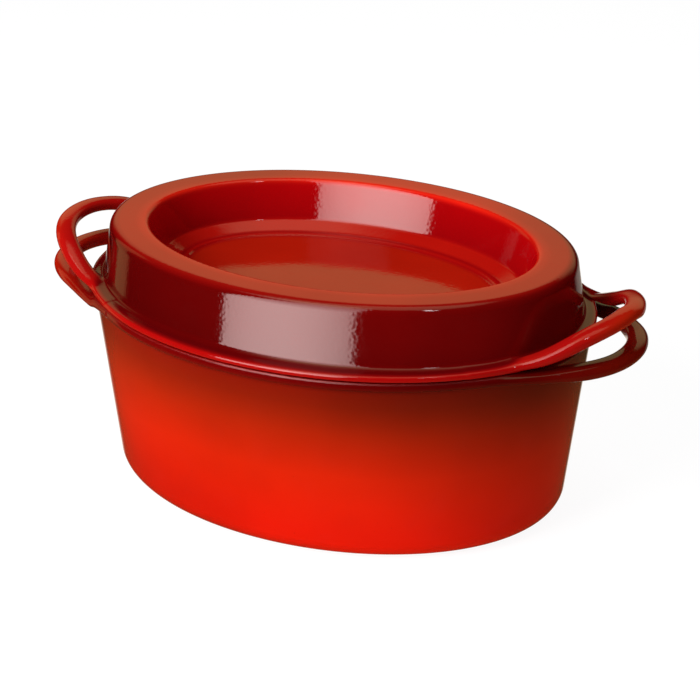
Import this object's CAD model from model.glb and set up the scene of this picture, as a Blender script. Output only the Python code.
"""Covered oval casserole: enamel pot and lid with loop handles, floor, light and camera.

The pot stands on z = 0 with its middle on the Z axis, +Z up. The oval's long axis and the
handles lie along X, and the camera looks from the -Y side, a little towards +X.
Shapes are in millimetres; meshes, shaders, lights and camera are in metres.
"""
import math
from functools import reduce

import bpy
import numpy as np
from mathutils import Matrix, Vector


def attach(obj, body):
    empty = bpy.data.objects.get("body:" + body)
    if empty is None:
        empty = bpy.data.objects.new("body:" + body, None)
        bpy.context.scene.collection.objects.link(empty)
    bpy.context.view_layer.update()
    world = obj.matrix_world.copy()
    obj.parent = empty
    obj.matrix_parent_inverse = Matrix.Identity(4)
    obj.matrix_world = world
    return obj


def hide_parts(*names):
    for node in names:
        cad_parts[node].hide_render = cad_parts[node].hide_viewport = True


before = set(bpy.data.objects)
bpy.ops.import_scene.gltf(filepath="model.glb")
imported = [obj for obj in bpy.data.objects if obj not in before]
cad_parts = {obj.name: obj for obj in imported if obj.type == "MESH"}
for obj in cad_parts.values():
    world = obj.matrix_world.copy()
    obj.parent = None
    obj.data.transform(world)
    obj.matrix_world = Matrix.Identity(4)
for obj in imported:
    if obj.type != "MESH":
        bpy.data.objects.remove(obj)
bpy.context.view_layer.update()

MM = 0.001
GRID_STEP = 1.0  # scale of the meshing grids

POT_RIM = 128.4  # height of the pot's rim
POT_FLOOR = 4.8  # height of the inside floor
LID_SEAT = 128.7  # underside of the lid's flange
LID_SKIN = 134.1  # underside of the lid's middle

PROFILE_STEP = 0.35  # spacing of the profile grids and of points on fillets
PROFILE_BLUR = 1.3  # softening of the profile grids, in grid steps
LARGEST_OVAL = 330.0
HANDLE_SAMPLES = 150
HANDLE_POWER = 2.5  # superellipse power of the handle's cross-section
HANDLE_BLEND = 5.0  # fillet sizes where shapes join
EDGE_BLEND = 1.0
SKIRT_BLEND = 1.6
STUD_BLEND = 2.4
STUD_RADIUS = 3.9
STUD_Z = 134.6
STUD_FLATTEN = 0.86  # scale on z when measuring distance to a stud


# ============================================================ shape tools
def fillet(corners):
    """A closed outline through (ring, z, radius) corners, each corner rounded."""
    outline = []
    for i, (ring, z, radius) in enumerate(corners):
        corner = np.array((ring, z), float)
        if radius <= 0:
            outline.append(corner)
            continue
        back = np.array(corners[i - 1][:2], float) - corner
        ahead = np.array(corners[(i + 1) % len(corners)][:2], float) - corner
        back_length, ahead_length = np.linalg.norm(back), np.linalg.norm(ahead)
        back, ahead = back / back_length, ahead / ahead_length
        half = 0.5 * math.acos(max(-1.0, min(1.0, float(back @ ahead))))
        cut = min(radius / math.tan(half), 0.49 * back_length, 0.49 * ahead_length)
        radius = cut * math.tan(half)
        middle = back + ahead
        centre = corner + middle / np.linalg.norm(middle) * (radius / math.sin(half))
        start, end = corner + back * cut - centre, corner + ahead * cut - centre
        angle = math.atan2(start[1], start[0])
        turn = (math.atan2(end[1], end[0]) - angle + math.pi) % (2 * math.pi) - math.pi
        count = max(2, int(abs(turn) * radius / PROFILE_STEP) + 1)
        for k in range(count + 1):
            t = angle + turn * k / count
            outline.append(centre + radius * np.array([math.cos(t), math.sin(t)]))
    return np.array(outline)


class Profile:
    """Signed distance to a rounded outline in the (ring, z) plane, kept on a fine grid."""

    def __init__(self, corners, ring_span, z_span):
        self.start = ring_span[0], z_span[0]
        axes = [np.arange(a, b + PROFILE_STEP, PROFILE_STEP) for a, b in (ring_span, z_span)]
        rings, heights = np.meshgrid(*axes, indexing="ij")
        points = np.stack([rings.ravel(), heights.ravel()], 1)
        outline = fillet(corners)
        nearest = np.full(len(points), 1e9)
        inside = np.zeros(len(points), bool)
        for a, b in zip(outline, np.roll(outline, -1, 0)):
            side = b - a
            offset = points - a
            t = np.clip((offset @ side) / max(side @ side, 1e-12), 0, 1)
            gap = offset - t[:, None] * side
            nearest = np.minimum(nearest, (gap * gap).sum(1))
            crosses = (a[1] > points[:, 1]) != (b[1] > points[:, 1])
            if crosses.any() and abs(side[1]) > 1e-12:
                crossing = a[0] + (points[:, 1] - a[1]) / side[1] * side[0]
                inside ^= crosses & (points[:, 0] < crossing)
        distance = np.sqrt(nearest)
        distance[inside] *= -1
        grid = distance.reshape(rings.shape)
        kernel = np.exp(-0.5 * (np.arange(-4, 5) / PROFILE_BLUR) ** 2)
        kernel /= kernel.sum()
        for axis in (0, 1):
            pad = [(4, 4) if i == axis else (0, 0) for i in (0, 1)]
            wide = np.pad(grid, pad, mode="edge")
            size = grid.shape[axis]
            grid = sum(weight * np.take(wide, np.arange(i, i + size), axis=axis)
                       for i, weight in enumerate(kernel))
        self.grid = grid

    @staticmethod
    def _weights(t):
        """Catmull-Rom weights of the four grid points around t."""
        return (
            -0.5 * t ** 3 + t ** 2 - 0.5 * t,
            1.5 * t ** 3 - 2.5 * t ** 2 + 1,
            -1.5 * t ** 3 + 2 * t ** 2 + 0.5 * t,
            0.5 * t ** 3 - 0.5 * t ** 2,
        )

    def at(self, ring, z):
        shape = self.grid.shape
        x = np.clip((ring - self.start[0]) / PROFILE_STEP, 1.0, shape[0] - 3.001)
        y = np.clip((z - self.start[1]) / PROFILE_STEP, 1.0, shape[1] - 3.001)
        i, j = x.astype(int), y.astype(int)
        x_weights, y_weights = self._weights(x - i), self._weights(y - j)
        result = 0.0
        for a in range(4):
            row = 0.0
            for b in range(4):
                row = row + y_weights[b] * self.grid[i + a - 1, j + b - 1]
            result = result + x_weights[a] * row
        return result


def ovals(widths, gaps):
    """Ovals with half-widths w along X and w - gap(w) along Y; gives (x, y) -> w."""

    def gap(width):
        return np.interp(width, widths, gaps)

    def solve(x, y):
        x, y = np.abs(x), np.abs(y)
        low = np.full(np.broadcast(x, y).shape, gaps[0] + 0.5)
        high = np.full(low.shape, LARGEST_OVAL)
        for _ in range(14):
            middle = 0.5 * (low + high)
            outside = (x / middle) ** 2 + (y / (middle - gap(middle))) ** 2 - 1 > 0
            low = np.where(outside, middle, low)
            high = np.where(outside, high, middle)
        width = 0.5 * (low + high)
        for _ in range(3):  # Newton steps
            depth = width - gap(width)
            depth_slope = 1 - (gap(width + 0.05) - gap(width - 0.05)) / 0.1
            error = (x / width) ** 2 + (y / depth) ** 2 - 1
            slope = -2 * x * x / width ** 3 - 2 * y * y / depth ** 3 * depth_slope
            width = np.clip(width - error / np.minimum(slope, -1e-9),
                            gaps[0] + 0.3, LARGEST_OVAL)
        return width

    return solve


def ease(t):
    t = np.clip(t, 0, 1)
    return t * t * (3 - 2 * t)


def rise(values, start, over):
    """0 up to start, easing to 1 over the given length above it."""
    return ease((values - start) / over)


def fall(values, end, over):
    """0 above end, easing to 1 over the given length below it."""
    return ease((end - values) / over)


def smin(a, b, blend):
    """Smooth minimum: joins two shapes with a fillet."""
    h = np.maximum(blend - np.abs(a - b), 0) / blend
    return np.minimum(a, b) - h * h * h * blend / 6


def smax(a, b, blend):
    return -smin(-a, -b, blend)


def natural_spline(run, keys, at):
    """A smooth cubic through keys placed at run, read at the given places."""
    count = len(keys)
    gaps = np.diff(run)
    matrix = np.zeros((count, count))
    target = np.zeros((count, keys.shape[1]))
    matrix[0, 0] = matrix[-1, -1] = 1
    for i in range(1, count - 1):
        matrix[i, i - 1:i + 2] = gaps[i - 1], 2 * (gaps[i - 1] + gaps[i]), gaps[i]
        target[i] = 6 * ((keys[i + 1] - keys[i]) / gaps[i] - (keys[i] - keys[i - 1]) / gaps[i - 1])
    bend = np.linalg.solve(matrix, target)
    k = np.clip(np.searchsorted(run, at, side="right") - 1, 0, count - 2)
    ahead, behind = (run[k + 1] - at)[:, None], (at - run[k])[:, None]
    gap = gaps[k][:, None]
    return ((bend[k] * ahead ** 3 + bend[k + 1] * behind ** 3) / (6 * gap)
            + (keys[k] / gap - bend[k] * gap / 6) * ahead
            + (keys[k + 1] / gap - bend[k + 1] * gap / 6) * behind)


class Strand:
    """A loop handle: a rounded bar whose stations run from the tip to the root at y > 0."""

    def __init__(self, stations):
        half = np.array(stations, float)
        keys = np.concatenate([half[:0:-1] * [1, -1, 1, 1, 1], half])
        run = np.r_[0, np.cumsum(np.linalg.norm(np.diff(keys[:, :3], axis=0), axis=1))]
        at = np.linspace(run[len(half) - 1], run[-1], HANDLE_SAMPLES)
        samples = natural_spline(run, keys, at)
        self.centre = samples[:, :3]
        along = np.gradient(self.centre, axis=0)
        along[0] = [0, 1, 0]
        along /= np.linalg.norm(along, axis=1)[:, None]
        across = np.stack([along[:, 1], -along[:, 0], 0 * along[:, 0]], 1)
        across /= np.linalg.norm(across, axis=1)[:, None]
        up = np.cross(across, along)
        up[up[:, 2] < 0] *= -1
        self.along = along
        self.frame = (self.centre, across, up, along, samples[:, 3] / 2, samples[:, 4] / 2)
        self.spacing = np.linalg.norm(self.centre[1] - self.centre[0])

    def at(self, points):
        """First-order distance from points, given with x and y made positive."""
        return np.concatenate([self._near(points[i:i + 20000])
                               for i in range(0, len(points), 20000)])

    def _near(self, points):
        i = ((points[:, None, :] - self.centre[None]) ** 2).sum(2).argmin(1)
        t = ((points - self.centre[i]) * self.along[i]).sum(1) / self.spacing
        place = np.clip(i + np.clip(t, -0.6, 0.6), 0, len(self.centre) - 1.001)
        j = place.astype(int)
        part = place - j

        def mix(values):
            k = part[:, None] if values.ndim > 1 else part
            return values[j] * (1 - k) + values[j + 1] * k

        centre, across, up, along, width, height = map(mix, self.frame)
        offset = points - centre
        n, b, t = ((offset * axis).sum(1) for axis in (across, up, along))
        e = HANDLE_POWER
        level = (np.abs(n / width) ** e + np.abs(b / height) ** e) ** (1 / e)
        slope = np.maximum(level, 0.15) ** (1 - e) * np.sqrt(
            (np.abs(n) ** (e - 1) / width ** e) ** 2
            + (np.abs(b) ** (e - 1) / height ** e) ** 2)
        distance = (level - 1) / np.maximum(slope, 0.5 / width)
        distance = np.maximum(distance, -height)
        past = np.maximum(np.abs(t) - 0.7 * self.spacing, 0)
        beyond_end = np.sqrt(np.maximum(distance, 0) ** 2 + past ** 2) + np.minimum(distance, 0)
        return np.where(past > 0, beyond_end, distance)


def add_handle(distance, strand, x, y, z, lowest):
    """Join a handle to a body; x and y are positive, lowest bounds the handle's reach."""
    near = (x > 108) & (z > lowest)
    if not near.any():
        return distance
    handle = np.full(len(z), 40.0)
    handle[near] = strand.at(np.stack([x, y, z], 1)[near])
    return smin(distance, handle, HANDLE_BLEND)


# ==================================================================== lid
# handle stations: x, y, z, width, height
LID_STRAND = Strand([
    (194.0, 0.0, 152.3, 13.2, 8.6), (193.3, 9.0, 152.1, 13.2, 8.6),
    (190.9, 18.3, 151.4, 13.2, 8.6), (187.0, 26.8, 150.1, 13.2, 8.7),
    (182.0, 34.3, 148.2, 13.2, 9.0), (176.0, 40.8, 145.3, 13.0, 9.2),
    (169.5, 46.3, 141.7, 12.8, 9.0), (162.5, 51.0, 138.0, 12.4, 8.4),
    (155.5, 54.8, 135.0, 12.0, 7.6), (148.5, 58.4, 132.9, 11.2, 6.4),
    (141.0, 63.2, 131.2, 10.0, 4.4), (132.0, 70.4, 130.4, 8.6, 2.6),
    (121.0, 80.3, 130.25, 7.0, 2.0),
])
LID_RING = ovals([60, 131, 150, 160.5, 168.2, 240], [42.1, 42.1, 45.2, 45.1, 41.4, 41.4])
SKIRT_RING = ovals([60, 240], [40.7, 40.7])
# outline corners: ring, z, fillet radius
LID_BODY = Profile([
    (-60, 138.3, 0), (105.4, 138.3, 1.2), (106.9, 139.3, 0.9), (111.6, 139.6, 1.6),
    (121.0, 144.2, 1.0), (129.9, 170.0, 3.6), (155.0, 170.0, 6.2), (160.8, 133.1, 2.3),
    (168.3, 132.7, 1.2), (168.3, LID_SEAT, 0.5), (156.8, LID_SEAT, 1.2),
    (150.9, 165.8, 4.0), (133.2, 165.8, 3.4), (124.4, 140.6, 5.0), (112.6, 135.2, 4.0),
    (104.0, LID_SKIN, 2.5), (-60, LID_SKIN, 0),
], ring_span=(40, 215), z_span=(114, 176))
SKIRT = Profile([
    (154.9, 121.2, 1.3), (158.6, 121.2, 1.3), (158.9, 131.0, 0.6), (155.4, 131.0, 0.6),
], ring_span=(120, 215), z_span=(114, 176))
# studs under the lid, on two ovals: half-length, half-width, count
STUDS = [
    (length * math.cos(2 * math.pi * (i + 0.5) / count),
     width * math.sin(2 * math.pi * (i + 0.5) / count))
    for length, width, count in ((76.0, 36.0, 10), (42.0, 17.0, 6))
    for i in range(count)
]


def lid_shape(points):
    """Distance to the lid: body and handles, trimmed at the seat, with skirt and studs."""
    x, y, z = points.T
    x_side, y_side = np.abs(x), np.abs(y)
    distance = LID_BODY.at(LID_RING(x_side, y_side), z)
    distance = add_handle(distance, LID_STRAND, x_side, y_side, z, lowest=120)
    distance = smax(distance, LID_SEAT - z, EDGE_BLEND)
    distance = smin(distance, SKIRT.at(SKIRT_RING(x_side, y_side), z), SKIRT_BLEND)
    low = (z < 138) & (x_side < 92) & (y_side < 50)
    if low.any():
        studs = np.full(low.sum(), 50.0)
        drop = ((z[low] - STUD_Z) * STUD_FLATTEN) ** 2
        for stud_x, stud_y in STUDS:
            reach = np.sqrt((x[low] - stud_x) ** 2 + (y[low] - stud_y) ** 2 + drop)
            studs = np.minimum(studs, reach - STUD_RADIUS)
        distance[low] = smin(distance[low], studs, STUD_BLEND)
    return distance


# ==================================================================== pot
# handle stations: x, y, z, width, height
POT_STRAND = Strand([
    (196.9, 0.0, 126.2, 13.4, 9.4), (196.1, 9.0, 126.1, 13.4, 9.4),
    (193.4, 18.5, 125.8, 13.4, 9.4), (188.9, 27.0, 125.5, 13.4, 9.6),
    (183.2, 34.2, 125.2, 13.2, 9.8), (176.6, 40.6, 125.0, 13.2, 9.6),
    (169.3, 46.2, 124.8, 13.0, 9.0), (161.5, 51.6, 124.5, 12.8, 8.0),
    (153.8, 57.3, 124.3, 12.0, 7.4), (146.2, 63.4, 124.6, 10.8, 6.4),
    (138.5, 69.9, 124.9, 9.2, 5.6), (130.0, 76.7, 125.2, 7.6, 4.8),
    (121.0, 83.0, 125.4, 6.0, 4.0),
])
POT_RING = ovals([60, 151.3, 165.4, 168.2, 240], [38.9, 38.9, 40.1, 41.4, 41.4])
# outline corners: ring, z, fillet radius
POT_BODY = Profile([
    (-60, 0.0, 0), (151.3, 0.0, 13.6), (165.5, 122.3, 3.2), (168.2, 123.2, 1.6),
    (167.7, POT_RIM, 0.9), (160.9, POT_RIM, 1.2), (147.3, POT_FLOOR, 12.0),
    (-60, POT_FLOOR, 0),
], ring_span=(40, 215), z_span=(-8, 134))


def pot_shape(points):
    """Distance to the pot: body and handles, trimmed by a top that rises outside the rim."""
    x, y, z = points.T
    x, y = np.abs(x), np.abs(y)
    ring = POT_RING(x, y)
    distance = add_handle(POT_BODY.at(ring, z), POT_STRAND, x, y, z, lowest=108)
    top = POT_RIM + 5.0 * rise(ring, 169.5, 14.0)
    return smax(distance, z - top, EDGE_BLEND)


# ================================================================ meshing
def lines(*spans):
    """Grid lines: (start, stop, step) spans joined end to end."""
    places = []
    for start, stop, step in spans:
        count = max(1, round((stop - start) / step))
        places.extend(start + (stop - start) * i / count for i in range(count))
    places.append(spans[-1][1])
    return np.array(places)


def mirrored(half):
    return np.concatenate([-half[:0:-1], half])


def sample(shape, xs, ys, zs):
    """The shape on the whole grid, worked out in one quarter and mirrored."""
    grid = np.meshgrid(xs, ys, zs, indexing="ij")
    points = np.stack([axis.ravel() for axis in grid], 1)
    parts = [shape(points[i:i + 400000]) for i in range(0, len(points), 400000)]
    values = np.concatenate(parts).reshape(grid[0].shape)
    values = np.concatenate([values[:0:-1], values], 0)
    return np.concatenate([values[:, :0:-1], values], 1)


def cell_points(values, inside, grid):
    """One point in each grid cell the surface passes: the mean of its edge crossings."""
    corners = [(i, j, k) for i in (0, 1) for j in (0, 1) for k in (0, 1)]
    ni, nj, nk = (size - 1 for size in inside.shape)
    total = sum(inside[i:ni + i, j:nj + j, k:nk + k].astype(np.int8) for i, j, k in corners)
    cells = np.argwhere((total > 0) & (total < 8))
    index = np.full(total.shape, -1, np.int64)
    index[tuple(cells.T)] = np.arange(len(cells))

    def corner(offset):
        place = tuple((cells + offset).T)
        return values[place], np.stack([axis[i] for axis, i in zip(grid, place)], 1)

    summed, count = np.zeros((len(cells), 3)), np.zeros(len(cells))
    for start in corners:
        for axis in range(3):
            if start[axis]:
                continue
            end = list(start)
            end[axis] = 1
            (value_a, point_a), (value_b, point_b) = corner(start), corner(end)
            cross = (value_a < 0) != (value_b < 0)
            t = np.where(cross, value_a / np.where(cross, value_a - value_b, 1), 0)
            hit = point_a + (point_b - point_a) * t[:, None]
            summed += np.where(cross[:, None], hit, 0)
            count += cross
    return summed / count[:, None], index


def cell_quads(inside, index):
    """One quad round each grid edge that crosses the surface, facing outwards."""
    quads = []
    for axis in range(3):
        u, v = [(1, 2), (2, 0), (0, 1)][axis]
        low = [slice(1, -1)] * 3
        low[axis] = slice(0, -1)
        high = list(low)
        high[axis] = slice(1, None)
        edges = np.argwhere(inside[tuple(low)] != inside[tuple(high)])
        start = edges + [1 if i != axis else 0 for i in range(3)]
        flip = ~inside[tuple(start.T)]
        around = []
        for du, dv in ((1, 1), (0, 1), (0, 0), (1, 0)):
            cell = start.copy()
            cell[:, u] -= du
            cell[:, v] -= dv
            around.append(index[tuple(cell.T)])
        quad = np.stack(around, 1)
        quad[flip] = quad[flip][:, ::-1]
        quads.append(quad)
    quads = np.concatenate(quads)
    return quads[(quads >= 0).all(1)]


def gradient(shape, points, reach):
    result = np.empty_like(points)
    for axis in range(3):
        d = np.zeros(3)
        d[axis] = reach
        result[:, axis] = (shape(points + d) - shape(points - d)) / (2 * reach)
    return result


def settle(shape, points):
    """Move points one step towards the surface."""
    value, slope = shape(points), gradient(shape, points, 0.12)
    step = value / np.maximum((slope * slope).sum(1), 0.05)
    return points - slope * np.clip(step, -1.2, 1.2)[:, None]


def relax(points, quads):
    """Move each point part of the way to the mean of its neighbours."""
    size = len(points)
    summed, count = np.zeros_like(points), np.zeros(size)
    for a in range(4):
        i, j = quads[:, a], quads[:, (a + 1) % 4]
        for m in range(3):
            summed[:, m] += (np.bincount(i, points[j, m], size)
                             + np.bincount(j, points[i, m], size))
        count += np.bincount(i, minlength=size) + np.bincount(j, minlength=size)
    return points + 0.6 * (summed / count[:, None] - points)


def net(shape, xs, ys, zs):
    """A smooth closed quad mesh on the zero level of shape, by surface nets."""
    values = sample(shape, xs, ys, zs)
    inside = values < 0
    points, index = cell_points(values, inside, (mirrored(xs), mirrored(ys), zs))
    quads = cell_quads(inside, index)
    points = settle(shape, settle(shape, points))
    for _ in range(2):
        points = settle(shape, relax(points, quads))
    points = settle(shape, points)
    normals = gradient(shape, points, 0.2)
    normals /= np.linalg.norm(normals, axis=1)[:, None]
    return points, quads, normals


def piece(name, points, quads, normals, material):
    mesh = bpy.data.meshes.new(name)
    mesh.vertices.add(len(points))
    mesh.vertices.foreach_set("co", (points * MM).astype(np.float32).ravel())
    mesh.loops.add(len(quads) * 4)
    mesh.loops.foreach_set("vertex_index", quads.astype(np.int32).ravel())
    mesh.polygons.add(len(quads))
    mesh.polygons.foreach_set("loop_start", np.arange(0, len(quads) * 4, 4, dtype=np.int32))
    mesh.update(calc_edges=True)
    mesh.validate()
    mesh.shade_smooth()
    mesh.normals_split_custom_set_from_vertices(normals.astype(np.float32).tolist())
    mesh.materials.append(material)
    obj = bpy.data.objects.new(name, mesh)
    bpy.context.scene.collection.objects.link(obj)
    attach(obj, name)
    return obj


# ============================================================== materials
class Graph:
    """A short way to write shader nodes."""

    def __init__(self, tree):
        self.tree = tree
        tree.nodes.clear()

    def node(self, kind, inputs=None, **props):
        node = self.tree.nodes.new(kind)
        for key, value in props.items():
            setattr(node, key, value)
        for key, value in (inputs or {}).items():
            if isinstance(value, bpy.types.Node):
                value = value.outputs[0]
            if isinstance(value, bpy.types.NodeSocket):
                self.tree.links.new(value, node.inputs[key])
            else:
                node.inputs[key].default_value = value
        return node

    def math(self, op, a, b=0.0):
        return self.node("ShaderNodeMath", {0: a, 1: b, 2: 0.0}, operation=op).outputs[0]

    def product(self, *values):
        return reduce(lambda a, b: self.math("MULTIPLY", a, b), values)

    def total(self, *values):
        return reduce(lambda a, b: self.math("ADD", a, b), values)

    def vector(self, op, inputs):
        return self.node("ShaderNodeVectorMath", inputs, operation=op).outputs[0]

    def scaled(self, colour, factor):
        return self.vector("SCALE", {0: colour, "Scale": factor})

    def ramp(self, value, start, end, low=0.0, high=1.0, smooth=True):
        """low at start, going to high at end."""
        node = self.node("ShaderNodeMapRange", {0: value, 1: start, 2: end, 3: low, 4: high})
        node.interpolation_type = "SMOOTHSTEP" if smooth else "LINEAR"
        node.clamp = True
        return node.outputs[0]

    def band(self, value, up, down, level=1.0):
        """Rises over the span up, and falls from level to 0 over the span down."""
        return self.product(self.ramp(value, *up), self.ramp(value, *down, low=level, high=0.0))

    def mix(self, factor, a, b):
        return self.node("ShaderNodeMix", {0: factor, 6: a, 7: b}, data_type="RGBA").outputs[2]

    def noise(self, where, scale, detail=2.0, rough=0.5):
        return self.node("ShaderNodeTexNoise", {
            "Vector": where, "Scale": scale, "Detail": detail, "Roughness": rough,
        }).outputs[0]

    def coordinate(self, kind="Object"):
        return self.node("ShaderNodeTexCoord").outputs[kind]

    def axis(self, where, number):
        return self.node("ShaderNodeSeparateXYZ", {0: where}).outputs[number]

    def attribute(self, name):
        return self.node("ShaderNodeAttribute", attribute_name=name).outputs["Fac"]

    def stops(self, value, low, high, table):
        """Linear colours from rows of (value, red, green, blue)."""
        node = self.node("ShaderNodeValToRGB", {0: self.ramp(value, low, high, smooth=False)})
        ramp = node.color_ramp
        ramp.interpolation = "LINEAR"
        while len(ramp.elements) < len(table):
            ramp.elements.new(0.5)
        for element, (place, *colour) in zip(ramp.elements, table):
            element.position = (place - low) / (high - low)
            element.color = (*colour, 1.0)
        return node.outputs[0]


def new_material(name):
    material = bpy.data.materials.new(name)
    material.use_nodes = True
    return material, Graph(material.node_tree)


def enamel(name, colour):
    """Glossy enamel: colour(g, where, z, ring) gives the outside colour."""
    material, g = new_material(name)
    where = g.coordinate()
    z = g.axis(where, 2)
    ring, lined, bare = (g.attribute(key) for key in ("ring", "lined", "bare"))

    def mask(value):
        return g.ramp(value, 0.45, 0.55)

    outer = colour(g, where, z, ring)
    # slow shade drift of the glaze, and fine specks
    outer = g.scaled(outer, g.ramp(g.noise(where, scale=14.0), 0.3, 0.7, low=0.95, high=1.06))
    speck = g.ramp(g.noise(where, scale=900.0, detail=1.0), 0.76, 0.82, high=0.35)
    outer = g.mix(speck, outer, (0.05, 0.002, 0.002, 1))
    cloud = g.ramp(g.noise(where, scale=30.0, detail=3.0), 0.35, 0.75)
    lining = g.mix(cloud, (0.74, 0.66, 0.50, 1), (0.64, 0.54, 0.38, 1))
    dark = g.mix(g.noise(where, scale=260.0), (0.030, 0.022, 0.020, 1), (0.060, 0.040, 0.034, 1))
    shade = g.mix(mask(lined), outer, lining)
    shade = g.mix(mask(bare), shade, dark)
    # rub marks make the gloss uneven, and the sharp edge of the rim is worn dull
    rub = g.ramp(g.noise(where, scale=45.0, detail=5.0, rough=0.65), 0.45, 0.8)
    edge = g.product(g.band(z, up=(0.1264, 0.1276), down=(0.1285, 0.1290)),
                     g.band(ring, up=(164.5, 166.0), down=(169.0, 170.5)))
    polish = 0.06  # least roughness
    rough = g.total(g.product(rub, 0.06), polish, g.product(mask(bare), 0.35),
                    g.product(edge, 0.32))
    # a slow wave and a fine peel in the surface, depths in metres
    wave = g.node("ShaderNodeBump", {
        "Height": g.noise(where, scale=42.0, detail=1.0), "Strength": 1.0, "Distance": 0.00011,
    })
    peel = g.node("ShaderNodeBump", {
        "Height": g.noise(where, scale=500.0, detail=0.0), "Strength": 1.0,
        "Distance": 0.00003, "Normal": wave,
    })
    shader = g.node("ShaderNodeBsdfPrincipled", {
        "Base Color": shade, "Roughness": rough, "Normal": peel, "IOR": 1.5,
        "Specular IOR Level": 0.5,
    })
    g.node("ShaderNodeOutputMaterial", {0: shader})
    return material


# colour tables: height (mm) or ring, then red, green, blue
POT_WALL = [
    (0, 0.73, 0.008, 0.0015), (20, 0.73, 0.008, 0.0015), (40, 0.72, 0.011, 0.0012),
    (60, 0.67, 0.014, 0.0012), (75, 0.55, 0.014, 0.0012), (90, 0.43, 0.014, 0.0012),
    (100, 0.33, 0.012, 0.0012), (110, 0.25, 0.009, 0.0012), (120, 0.22, 0.006, 0.0012),
    (123.6, 0.15, 0.001, 0.0010), (127.6, 0.14, 0.001, 0.0010), (129.0, 0.22, 0.002, 0.0010),
]
POT_HANDLE = [
    (168, 0.15, 0.001, 0.001), (176, 0.22, 0.003, 0.001), (190, 0.32, 0.006, 0.002),
    (200, 0.44, 0.012, 0.002),
]
LID_HANDLE = [
    (182, 0.42, 0.004, 0.0035), (190, 0.45, 0.006, 0.0035), (200, 0.52, 0.018, 0.0030),
]
LID_TOP = [
    (60, 0.42, 0.011, 0.0025), (102, 0.42, 0.011, 0.0025), (106, 0.32, 0.002, 0.0025),
    (107.5, 0.40, 0.004, 0.0025), (110.5, 0.30, 0.002, 0.0025), (113, 0.43, 0.006, 0.0030),
    (120.2, 0.45, 0.006, 0.0030), (121.6, 0.31, 0.001, 0.0025), (126, 0.38, 0.001, 0.0025),
    (128.6, 0.43, 0.001, 0.0025), (130.6, 0.62, 0.012, 0.0040), (134, 0.52, 0.010, 0.0040),
    (139, 0.44, 0.008, 0.0030), (148.5, 0.42, 0.008, 0.0030), (150.4, 0.34, 0.006, 0.0030),
    (153.4, 0.20, 0.002, 0.0015), (155.2, 0.125, 0.001, 0.0010), (159.6, 0.115, 0.001, 0.0010),
    (161.5, 0.13, 0.001, 0.0012), (165.0, 0.13, 0.001, 0.0020), (166.6, 0.24, 0.002, 0.0025),
    (167.8, 0.40, 0.003, 0.0025), *LID_HANDLE,
]


def pot_colour(g, where, z, ring):
    """Flame glaze: bright at the foot, shading to dark at the rim."""
    x = g.axis(where, 0)
    # brightness changes along x, more so near the foot, and drops at the +X end
    tilt = g.math("SUBTRACT", 3.45, g.product(z, 40.0))
    tilt = g.product(g.math("MAXIMUM", x, -0.07), tilt)
    shift = g.product(g.total(1.0, tilt), g.ramp(x, 0.04, 0.155, low=1.0, high=0.76))
    wall = g.scaled(g.stops(g.product(z, 1000.0), 0.0, 130.0, POT_WALL), shift)
    handle = g.stops(ring, 168.0, 200.0, POT_HANDLE)
    handle = g.scaled(handle, g.ramp(x, -0.05, 0.05, low=1.1, high=0.47))
    return g.mix(g.ramp(ring, 168.6, 171.0), wall, handle)


def lid_colour(g, where, z, ring):
    """Bright in the basin and on its edge, dark on the outer wall, bright at the flange."""
    x, y = g.axis(where, 0), g.axis(where, 1)
    base = g.stops(ring, 60.0, 200.0, LID_TOP)
    # the handle bars stay light down to their roots
    bar = g.product(g.ramp(ring, 160.8, 162.6), g.ramp(z, 0.1338, 0.1368))
    handle = g.stops(ring, 160.0, 200.0, [(160, 0.38, 0.006, 0.0035), *LID_HANDLE])
    base = g.mix(bar, base, handle)
    # uneven glaze: lighter round a spot at the back of the top, wall darker towards -X
    squares = [g.math("POWER", g.math("SUBTRACT", place, spot), 2.0)
               for place, spot in ((x, 0.02), (y, 0.105))]
    far = g.ramp(g.math("SQRT", g.total(*squares)), 0.03, 0.125, low=0.42, high=0.0)
    top = g.product(g.ramp(z, 0.166, 0.1690), far)
    wall = g.product(x, 2.6, g.band(ring, up=(154.0, 155.6), down=(160.0, 163.0)))
    return g.scaled(base, g.total(1.0, top, wall))


# ================================================================= pieces
def build_lid(material):
    step = GRID_STEP
    points, quads, normals = net(
        lid_shape,
        lines((0, 90, 2.6 * step), (90, 204, 1.6 * step)),
        lines((0, 36, 2.2 * step), (36, 130, 1.5 * step)),
        lines((117, 121, 1.0), (121, 134, 0.8 * step), (134, 137, 1.2 * step),
              (137, 146, 0.9 * step), (146, 160, 1.6 * step), (160, 165, 1.2 * step),
              (165, 173, 0.9 * step)))
    x, y, z = points.T  # views: changing z moves the points
    # the +X handle is a touch lower at its back, and lower again near its back root
    z -= 2.9 * rise(x, 166.0, 22.0) * rise(y, -9.0, 18.0)
    root = rise(x, 139.0, 13.0) * fall(x, 186.0, 18.0)
    back = rise(y, 12.0, 16.0) * rise(LID_RING(x, y), 161.5, 4.0)
    z -= 4.5 * root * back * rise(z, 131.2, 7.0)
    return piece("lid", points, quads, normals, material), points, normals


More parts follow.
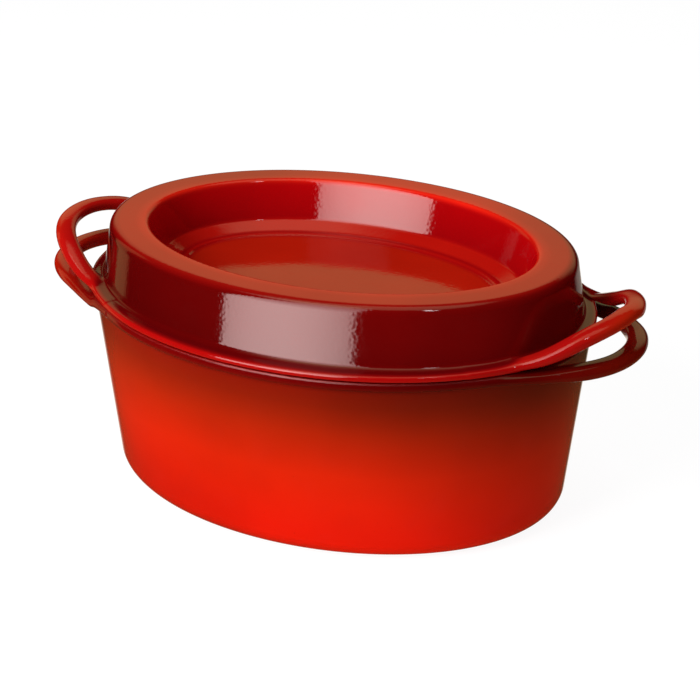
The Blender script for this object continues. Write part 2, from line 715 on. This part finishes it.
def build_pot(material):
    step = GRID_STEP
    points, quads, normals = net(
        pot_shape,
        lines((0, 120, 3.2 * step), (120, 208, 1.9 * step)),
        lines((0, 40, 3.0 * step), (40, 132, 1.9 * step)),
        lines((-3, 0, 1.0), (0, 18, 1.3 * step), (18, 108, 3.0 * step),
              (108, 114, 1.6 * step), (114, 120, 1.1 * step), (120, 131, 0.8 * step),
              (131, 136, 1.0 * step)))
    x, y, z = points.T  # views: changing x or z moves the points
    ring = POT_RING(x, y)
    outside = rise(ring, 165.5, 5.0)
    # the -X handle sits a little lower and further out
    tip, front = fall(x, -176.0, 20.0), fall(y, -5.0, 20.0)
    rear_drop = 0.9 - 0.4 * tip
    front_drop = 0.5 + 1.5 * rise(x, -178.0, 26.0)
    drop = rear_drop * (1 - front) + front_drop * front
    z -= outside * fall(x, -136.0, 9.0) * drop
    x -= 0.8 * tip
    # the fillet at its front root runs a little deeper under the rim
    root = fall(x, -128.0, 10.0) * rise(x, -158.0, 14.0) * fall(y, -25.0, 10.0)
    z -= 0.8 * root * rise(ring, 163.0, 3.0) * fall(z, 127.0, 4.0) * rise(z, 112.0, 4.0)
    # the +X handle is a little higher at its back
    z += 1.3 * outside * rise(x, 156.0, 12.0) * fall(x, 186.0, 10.0) * rise(y, 22.0, 12.0)
    return piece("pot", points, quads, normals, material), points, normals


def set_fields(obj, **fields):
    for name, values in fields.items():
        attribute = obj.data.attributes.new(name, "FLOAT", "POINT")
        attribute.data.foreach_set("value", np.asarray(values, np.float32))


def mark_lid(obj, points, normals):
    """The lining covers the underside; the flange's underside has a dark band."""
    x, y, z = points.T
    ring = LID_RING(x, y)
    under = np.clip((131.0 - z) * 0.5 + 0.5, 0, 1) * (ring < 158.0)
    under = under + ((normals[:, 2] < -0.25) & (ring < 156.5))
    skin = (LID_BODY.at(ring, z + 2.5) < 0) & (ring < 157)
    band = (z < 129.2) & (ring > 156.0) & (ring < 166.5) & (normals[:, 2] < -0.5)
    set_fields(obj, ring=ring, lined=np.clip(under + skin, 0, 1), bare=band)


def mark_pot(obj, points, normals):
    """The lining covers the inside; the top of the rim has a dark band."""
    x, y, z = points.T
    ring = POT_RING(x, y)
    middle = np.interp(z, [POT_FLOOR, POT_RIM], [149.3, 163.0])
    inward = normals[:, 0] * x + normals[:, 1] * y < 0
    foot = (z > 2.5) & ((normals[:, 2] > 0.05) | inward)
    band = (z > 127.9) & (ring > 160.4) & (ring < 163.8) & (normals[:, 2] > 0.6)
    set_fields(obj, ring=ring, lined=np.where(z < 22.0, foot, ring < middle), bare=band)


pot_enamel = enamel("pot_enamel", pot_colour)
lid_enamel = enamel("lid_enamel", lid_colour)
lid, *lid_surface = build_lid(lid_enamel)
pot, *pot_surface = build_pot(pot_enamel)
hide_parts("lid")
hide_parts("pot")
mark_lid(lid, *lid_surface)
mark_pot(pot, *pot_surface)

# =========================================================== floor, light
scene = bpy.context.scene
scene.view_settings.view_transform = "Standard"
scene.view_settings.look = "None"


def build_floor(half=4, drop=0.0004):
    mesh = bpy.data.meshes.new("floor")
    corners = [(-half, -half, 0), (half, -half, 0), (half, half, 0), (-half, half, 0)]
    mesh.from_pydata(corners, [], [(0, 1, 2, 3)])
    obj = bpy.data.objects.new("floor", mesh)
    obj.location.z = -drop
    obj.visible_glossy = False
    scene.collection.objects.link(obj)
    material, g = new_material("floor_paper")
    rays = g.node("ShaderNodeLightPath").outputs
    grain = g.noise(g.coordinate(), scale=60.0, detail=3.0)
    paper = g.mix(grain, (0.80, 0.80, 0.80, 1), (0.83, 0.83, 0.83, 1))
    glow = g.total(g.product(rays["Is Camera Ray"], 0.93), g.product(rays["Is Diffuse Ray"], 0.09))
    tone = g.mix(rays["Is Glossy Ray"], paper, (0.012, 0.008, 0.006, 1))
    tone = g.mix(rays["Is Camera Ray"], tone, (0.15, 0.15, 0.15, 1))
    shader = g.node("ShaderNodeBsdfPrincipled", {
        "Base Color": tone, "Roughness": 0.9, "Specular IOR Level": 0.0,
        "Emission Color": (1, 1, 1, 1), "Emission Strength": glow,
    })
    g.node("ShaderNodeOutputMaterial", {0: shader})
    material.cycles.emission_sampling = "NONE"
    mesh.materials.append(material)
    return obj


def build_world():
    """What the glaze mirrors, by azimuth (from -Y towards +X) and elevation in degrees."""
    world = bpy.data.worlds.new("studio")
    scene.world = world
    world.use_nodes = True
    world.cycles.sampling_method = "NONE"
    g = Graph(world.node_tree)
    rays = g.node("ShaderNodeLightPath").outputs
    x, y, z = g.node("ShaderNodeSeparateXYZ", {0: g.coordinate("Generated")}).outputs
    degrees = 57.29578  # in one radian
    az = g.product(g.math("ARCTAN2", x, g.product(y, -1.0)), degrees)
    el = g.product(g.math("ARCSINE", z), degrees)

    def window(sides, heights, side_soft, height_soft, level=1.0):
        """A soft-edged panel between two azimuths and two elevations."""
        bands = [g.band(angle, (a - soft, a + soft), (b - soft, b + soft))
                 for angle, (a, b), soft in ((az, sides, side_soft), (el, heights, height_soft))]
        return g.product(*bands, level)

    def tinted(level, colour):
        grey = g.node("ShaderNodeCombineXYZ", {0: level, 1: level, 2: level})
        return g.vector("MULTIPLY", {0: grey, 1: colour})

    # the main soft box: brightest in the middle, dimmer towards its sides and its top
    off_middle = g.math("DIVIDE", g.total(az, 17.0), 25.0)
    fade = g.math("SUBTRACT", 1.0, g.product(g.math("POWER", off_middle, 2.0), 0.45))
    tall = g.ramp(el, 14.0, 62.0, low=6.9, high=2.3, smooth=False)
    softbox = g.product(window((-38.5, 7.5), (-15, 66), side_soft=1.2, height_soft=2.5),
                        g.product(g.math("MAXIMUM", fade, 0.2), tall))
    # second reflections are dimmed, as if broken up by ripple in the glaze
    direct = g.math("LESS_THAN", rays["Ray Depth"], 2.5)
    softbox = g.product(softbox, g.total(0.35, g.product(direct, 0.65)))
    high = window((-80, -8), (62, 80), side_soft=8.0, height_soft=6.0, level=1.5)
    # a small lamp at the right, a dim wall at the left, a dim sheet behind, a dim ceiling
    spot = window((40, 47), (54, 63), side_soft=1.0, height_soft=1.5, level=14.0)
    left = window((-109, -94.0), (-24, 34), side_soft=2.2, height_soft=4.0, level=0.27)
    across = g.total(g.ramp(g.product(az, -1.0), 120.0, 138.0), g.ramp(az, 150.0, 178.0))
    rear = g.product(across, g.band(el, up=(2.0, 16.0), down=(31.0, 38.0)), 0.40)
    ceiling = g.product(g.ramp(el, 62.0, 72.0), 0.75)
    below = g.product(g.ramp(el, -20.0, -30.0), 0.07)
    # the pale sheet opposite the camera, by azimuth from its middle, wrapped to +-180
    turn = g.total(az, 155.0)
    turn = g.math("SUBTRACT", turn, g.product(g.math("GREATER_THAN", turn, 180.0), 360.0))
    side = g.product(g.band(turn, up=(-46.0, -34.0), down=(-14.0, -6.0)),
                     g.band(el, up=(-27.0, -21.0), down=(-11.0, -3.0), level=0.32))
    off_level = g.math("ABSOLUTE", g.total(el, 25.0))
    beyond = g.product(g.ramp(g.math("ABSOLUTE", turn), 8.0, 24.0, low=1.0, high=0.0),
                       g.ramp(off_level, 8.0, 22.0, low=0.85, high=0.0))
    sources = [
        (softbox, (1.28, 1.0, 0.97)), (high, (1.1, 1.0, 0.80)),
        (g.product(spot, direct), (1.0, 0.98, 1.02)), (left, (1.8, 1.0, 0.42)),
        (rear, (1.15, 1.0, 0.46)), (ceiling, (1.1, 1.0, 0.62)), (below, (1.1, 0.9, 0.35)),
        (g.math("MAXIMUM", beyond, side), (1.12, 1.0, 0.86)),
    ]
    mirror = reduce(lambda a, b: g.vector("ADD", {0: a, 1: b}),
                    [tinted(*source) for source in sources])
    ambient, white = (g.node("ShaderNodeCombineColor", {0: level, 1: level, 2: level})
                      for level in (0.15, 1.0))
    light = g.mix(rays["Is Glossy Ray"], ambient, mirror)
    light = g.mix(rays["Is Camera Ray"], light, white)
    background = g.node("ShaderNodeBackground", {0: light, 1: 1.0})
    g.node("ShaderNodeOutputWorld", {0: background})


def direction(azimuth, elevation):
    """Unit vector at an azimuth (from -Y towards +X) and elevation in degrees."""
    a, e = math.radians(azimuth), math.radians(elevation)
    return Vector((math.sin(a) * math.cos(e), -math.cos(a) * math.cos(e), math.sin(e)))


def place(obj, aim_height, towards, distance):
    """Put obj out from a point on the Z axis, looking back at it."""
    obj.location = Vector((0, 0, aim_height)) + towards * distance
    obj.rotation_euler = (-towards).to_track_quat("-Z", "Y").to_euler()
    scene.collection.objects.link(obj)


def lamp(name, azimuth, elevation, size, power):
    """A square soft light for the diffuse colour only."""
    data = bpy.data.lights.new(name, "AREA")
    data.shape = "RECTANGLE"
    data.size = data.size_y = size
    data.energy = power
    obj = bpy.data.objects.new(name, data)
    place(obj, aim_height=0.09, towards=direction(azimuth, elevation), distance=1.6)
    obj.visible_glossy = False
    obj.visible_camera = False
    return obj


def build_camera():
    data = bpy.data.cameras.new("camera")
    data.sensor_width = 36.0
    data.lens = 109.626686
    data.shift_x, data.shift_y = 0.01503, -0.04233
    data.clip_start, data.clip_end = 0.05, 30.0
    camera = bpy.data.objects.new("camera", data)
    place(camera, aim_height=0.10875, towards=direction(25.0, 24.2), distance=1.377)
    scene.camera = camera
    return camera


floor = build_floor()
build_world()
key = lamp("key", azimuth=-26, elevation=34, size=0.9, power=26.5)
overhead = lamp("overhead", azimuth=150, elevation=74, size=1.2, power=7.0)
build_camera()
